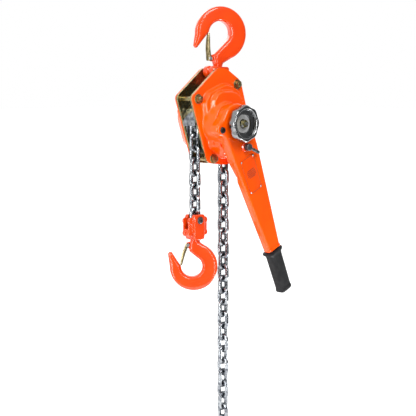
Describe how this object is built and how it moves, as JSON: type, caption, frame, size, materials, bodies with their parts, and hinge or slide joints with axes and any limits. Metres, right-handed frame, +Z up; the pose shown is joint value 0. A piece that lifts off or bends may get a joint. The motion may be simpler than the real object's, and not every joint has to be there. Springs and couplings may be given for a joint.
{
  "type": "lever chain hoist",
  "caption": "Lever chain hoist with a swivelling top hook, ratchet lever, handwheel, screw-type load brake, gear train, load chain and a lower hook.",
  "frame": {"origin": "saddle of the top hook, where the hook hangs on its support", "axes": "+Z up, +X right across the side plates, +Y from the lever side to the gear side"},
  "size_m": [0.2378, 0.1535, 0.8799],
  "materials": {
    "cover_paint": "glossy orange enamel on pressed steel",
    "hook_paint": "orange enamel on a drop forging",
    "yellow_zinc": "yellow chromate zinc plate",
    "chain_zinc": "bright zinc plate",
    "machined_steel": "turned and milled steel, oiled",
    "latch_sheet": "zinc-plated pressed steel",
    "chrome": "chrome plate",
    "grey_steel": "grey phosphated steel",
    "black_screw": "black oxide",
    "friction_lining": "moulded brake lining",
    "grip_rubber": "moulded black rubber"
  },
  "bodies": {
    "hook": {"top_hook": "hook_paint", "top_latch_pin": "machined_steel"},
    "top_latch": {"top_latch": "latch_sheet"},
    "top_yoke": {"top_yoke_front": "hook_paint", "top_yoke_rear": "hook_paint", "top_yoke_rivet_left": "hook_paint", "top_yoke_rivet_right": "hook_paint"},
    "frame": {"top_pin": "machined_steel", "side_plate_front": "yellow_zinc", "side_plate_rear": "yellow_zinc", "brake_cover": "cover_paint", "gear_cover": "cover_paint", "stay_bolt_1": "yellow_zinc", "stay_bolt_2": "yellow_zinc", "stay_bolt_3": "yellow_zinc", "stay_bolt_4": "yellow_zinc", "stay_nut_1": "yellow_zinc", "stay_nut_2": "yellow_zinc", "stay_nut_3": "yellow_zinc", "stay_nut_4": "yellow_zinc", "sheave_bush_front": "machined_steel", "sheave_bush_rear": "machined_steel", "chain_guide_left": "machined_steel", "chain_guide_right": "machined_steel", "chain_stripper": "machined_steel"},
    "sheave": {"load_sheave": "machined_steel", "load_gear": "machined_steel", "sheave_chain": "chain_zinc"},
    "idler_upper": {"idler_gear_upper": "machined_steel"},
    "idler_lower": {"idler_gear_lower": "machined_steel"},
    "input_shaft": {"pinion_shaft": "machined_steel", "friction_hub": "machined_steel", "friction_disc_inner": "friction_lining", "friction_disc_outer": "friction_lining", "handwheel_nut": "yellow_zinc"},
    "ratchet": {"ratchet_disc": "machined_steel"},
    "pawl_upper": {"pawl_upper": "machined_steel"},
    "pawl_lower": {"pawl_lower": "machined_steel"},
    "handwheel": {"handwheel": "chrome", "changeover_gear": "machined_steel"},
    "lever": {"lever_front_shell": "cover_paint", "lever_rear_shell": "cover_paint", "lever_screw_left": "black_screw", "lever_screw_right": "black_screw", "grip": "grip_rubber", "nameplate": "cover_paint"},
    "selector": {"selector_knob": "grey_steel", "selector_pawl": "machined_steel"},
    "load_fall": {"load_chain": "chain_zinc"},
    "bottom_yoke": {"bottom_yoke_front": "hook_paint", "bottom_yoke_rear": "hook_paint", "chain_pin": "grey_steel", "bottom_yoke_rivet_left": "hook_paint", "bottom_yoke_rivet_right": "hook_paint"},
    "bottom_hook": {"bottom_hook": "hook_paint", "bottom_latch_pin": "machined_steel"},
    "bottom_latch": {"bottom_latch": "latch_sheet"},
    "tail_fall": {"tail_chain": "chain_zinc"},
    "end_ring": {"end_ring": "chain_zinc"}
  },
  "joints": [
    {"name": "top_latch_hinge", "type": "hinge", "parent": "hook", "child": "top_latch", "pos_m": [-0.01576, 0.00637, -0.071], "axis": [0.3746, 0.9272, 0], "range_deg": [0, 26], "stiffness_Nm_per_rad": 0.05, "springref_deg": -20.05},
    {"name": "top_swivel", "type": "hinge", "parent": "hook", "child": "top_yoke", "pos_m": [0, 0, -0.09], "axis": [0, 0, 1], "continuous": true},
    {"name": "frame_swing", "type": "hinge", "parent": "top_yoke", "child": "frame", "pos_m": [0, 0, -0.11], "axis": [0, 1, 0], "range_deg": [-20, 20]},
    {"name": "sheave_turn", "type": "hinge", "parent": "frame", "child": "sheave", "pos_m": [-0.023, 0, -0.194], "axis": [0, 1, 0], "range_deg": [-9.5, 9.5]},
    {"name": "idler_upper_turn", "type": "hinge", "parent": "frame", "child": "idler_upper", "pos_m": [-0.03379, 0, -0.16387], "axis": [0, 1, 0], "range_deg": [-28.8, 28.8]},
    {"name": "idler_lower_turn", "type": "hinge", "parent": "frame", "child": "idler_lower", "pos_m": [-0.01221, 0, -0.22413], "axis": [0, 1, 0], "range_deg": [-28.8, 28.8]},
    {"name": "shaft_turn", "type": "hinge", "parent": "frame", "child": "input_shaft", "pos_m": [-0.023, 0, -0.194], "axis": [0, 1, 0], "range_deg": [-86.2, 86.2]},
    {"name": "ratchet_turn", "type": "hinge", "parent": "frame", "child": "ratchet", "pos_m": [-0.023, 0, -0.194], "axis": [0, 1, 0], "continuous": true},
    {"name": "pawl_upper_lift", "type": "hinge", "parent": "frame", "child": "pawl_upper", "pos_m": [-0.01218, 0, -0.15445], "axis": [0, 1, 0], "range_deg": [0, 12], "stiffness_Nm_per_rad": 0.05, "springref_deg": -20.05},
    {"name": "pawl_lower_lift", "type": "hinge", "parent": "frame", "child": "pawl_lower", "pos_m": [-0.03382, 0, -0.23355], "axis": [0, 1, 0], "range_deg": [0, 12], "stiffness_Nm_per_rad": 0.05, "springref_deg": -20.05},
    {"name": "brake_release", "type": "hinge", "parent": "input_shaft", "child": "handwheel", "pos_m": [-0.023, 0, -0.194], "axis": [0, 1, 0], "range_deg": [-60, 0]},
    {"name": "lever_swing", "type": "hinge", "parent": "frame", "child": "lever", "pos_m": [-0.023, 0, -0.194], "axis": [0, 1, 0], "continuous": true},
    {"name": "selector_turn", "type": "hinge", "parent": "lever", "child": "selector", "pos_m": [-0.00354, 0, -0.23897], "axis": [0, 1, 0], "range_deg": [0, 90]},
    {"name": "load_fall_travel", "type": "slide", "parent": "frame", "child": "load_fall", "axis": [0, 0, 1], "range_m": [-0.0065, 0.0065]},
    {"name": "tail_fall_travel", "type": "slide", "parent": "frame", "child": "tail_fall", "axis": [0, 0, 1], "range_m": [-0.0065, 0.0065]},
    {"name": "bottom_yoke_swing", "type": "hinge", "parent": "load_fall", "child": "bottom_yoke", "pos_m": [-0.06183, 0, -0.3802], "axis": [0, 1, 0], "range_deg": [-10, 10]},
    {"name": "bottom_swivel", "type": "hinge", "parent": "bottom_yoke", "child": "bottom_hook", "pos_m": [-0.06183, 0, -0.4192], "axis": [0, 0, 1], "continuous": true},
    {"name": "bottom_latch_hinge", "type": "hinge", "parent": "bottom_hook", "child": "bottom_latch", "pos_m": [-0.07146, 0.00946, -0.4292], "axis": [-0.7009, -0.7132, 0], "range_deg": [0, 24], "stiffness_Nm_per_rad": 0.05, "springref_deg": -20.05},
    {"name": "end_ring_swing", "type": "hinge", "parent": "tail_fall", "child": "end_ring", "pos_m": [0.01583, 0, -0.822], "axis": [1, 0, 0], "range_deg": [-30, 30]}
  ],
  "couplings": [
    {"joint": "idler_upper_turn", "follows": "sheave_turn", "ratio": -3},
    {"joint": "idler_lower_turn", "follows": "sheave_turn", "ratio": -3},
    {"joint": "shaft_turn", "follows": "sheave_turn", "ratio": 9},
    {"joint": "load_fall_travel", "follows": "sheave_turn", "m_per_rad": 0.03883},
    {"joint": "tail_fall_travel", "follows": "sheave_turn", "m_per_rad": -0.03883}
  ]
}
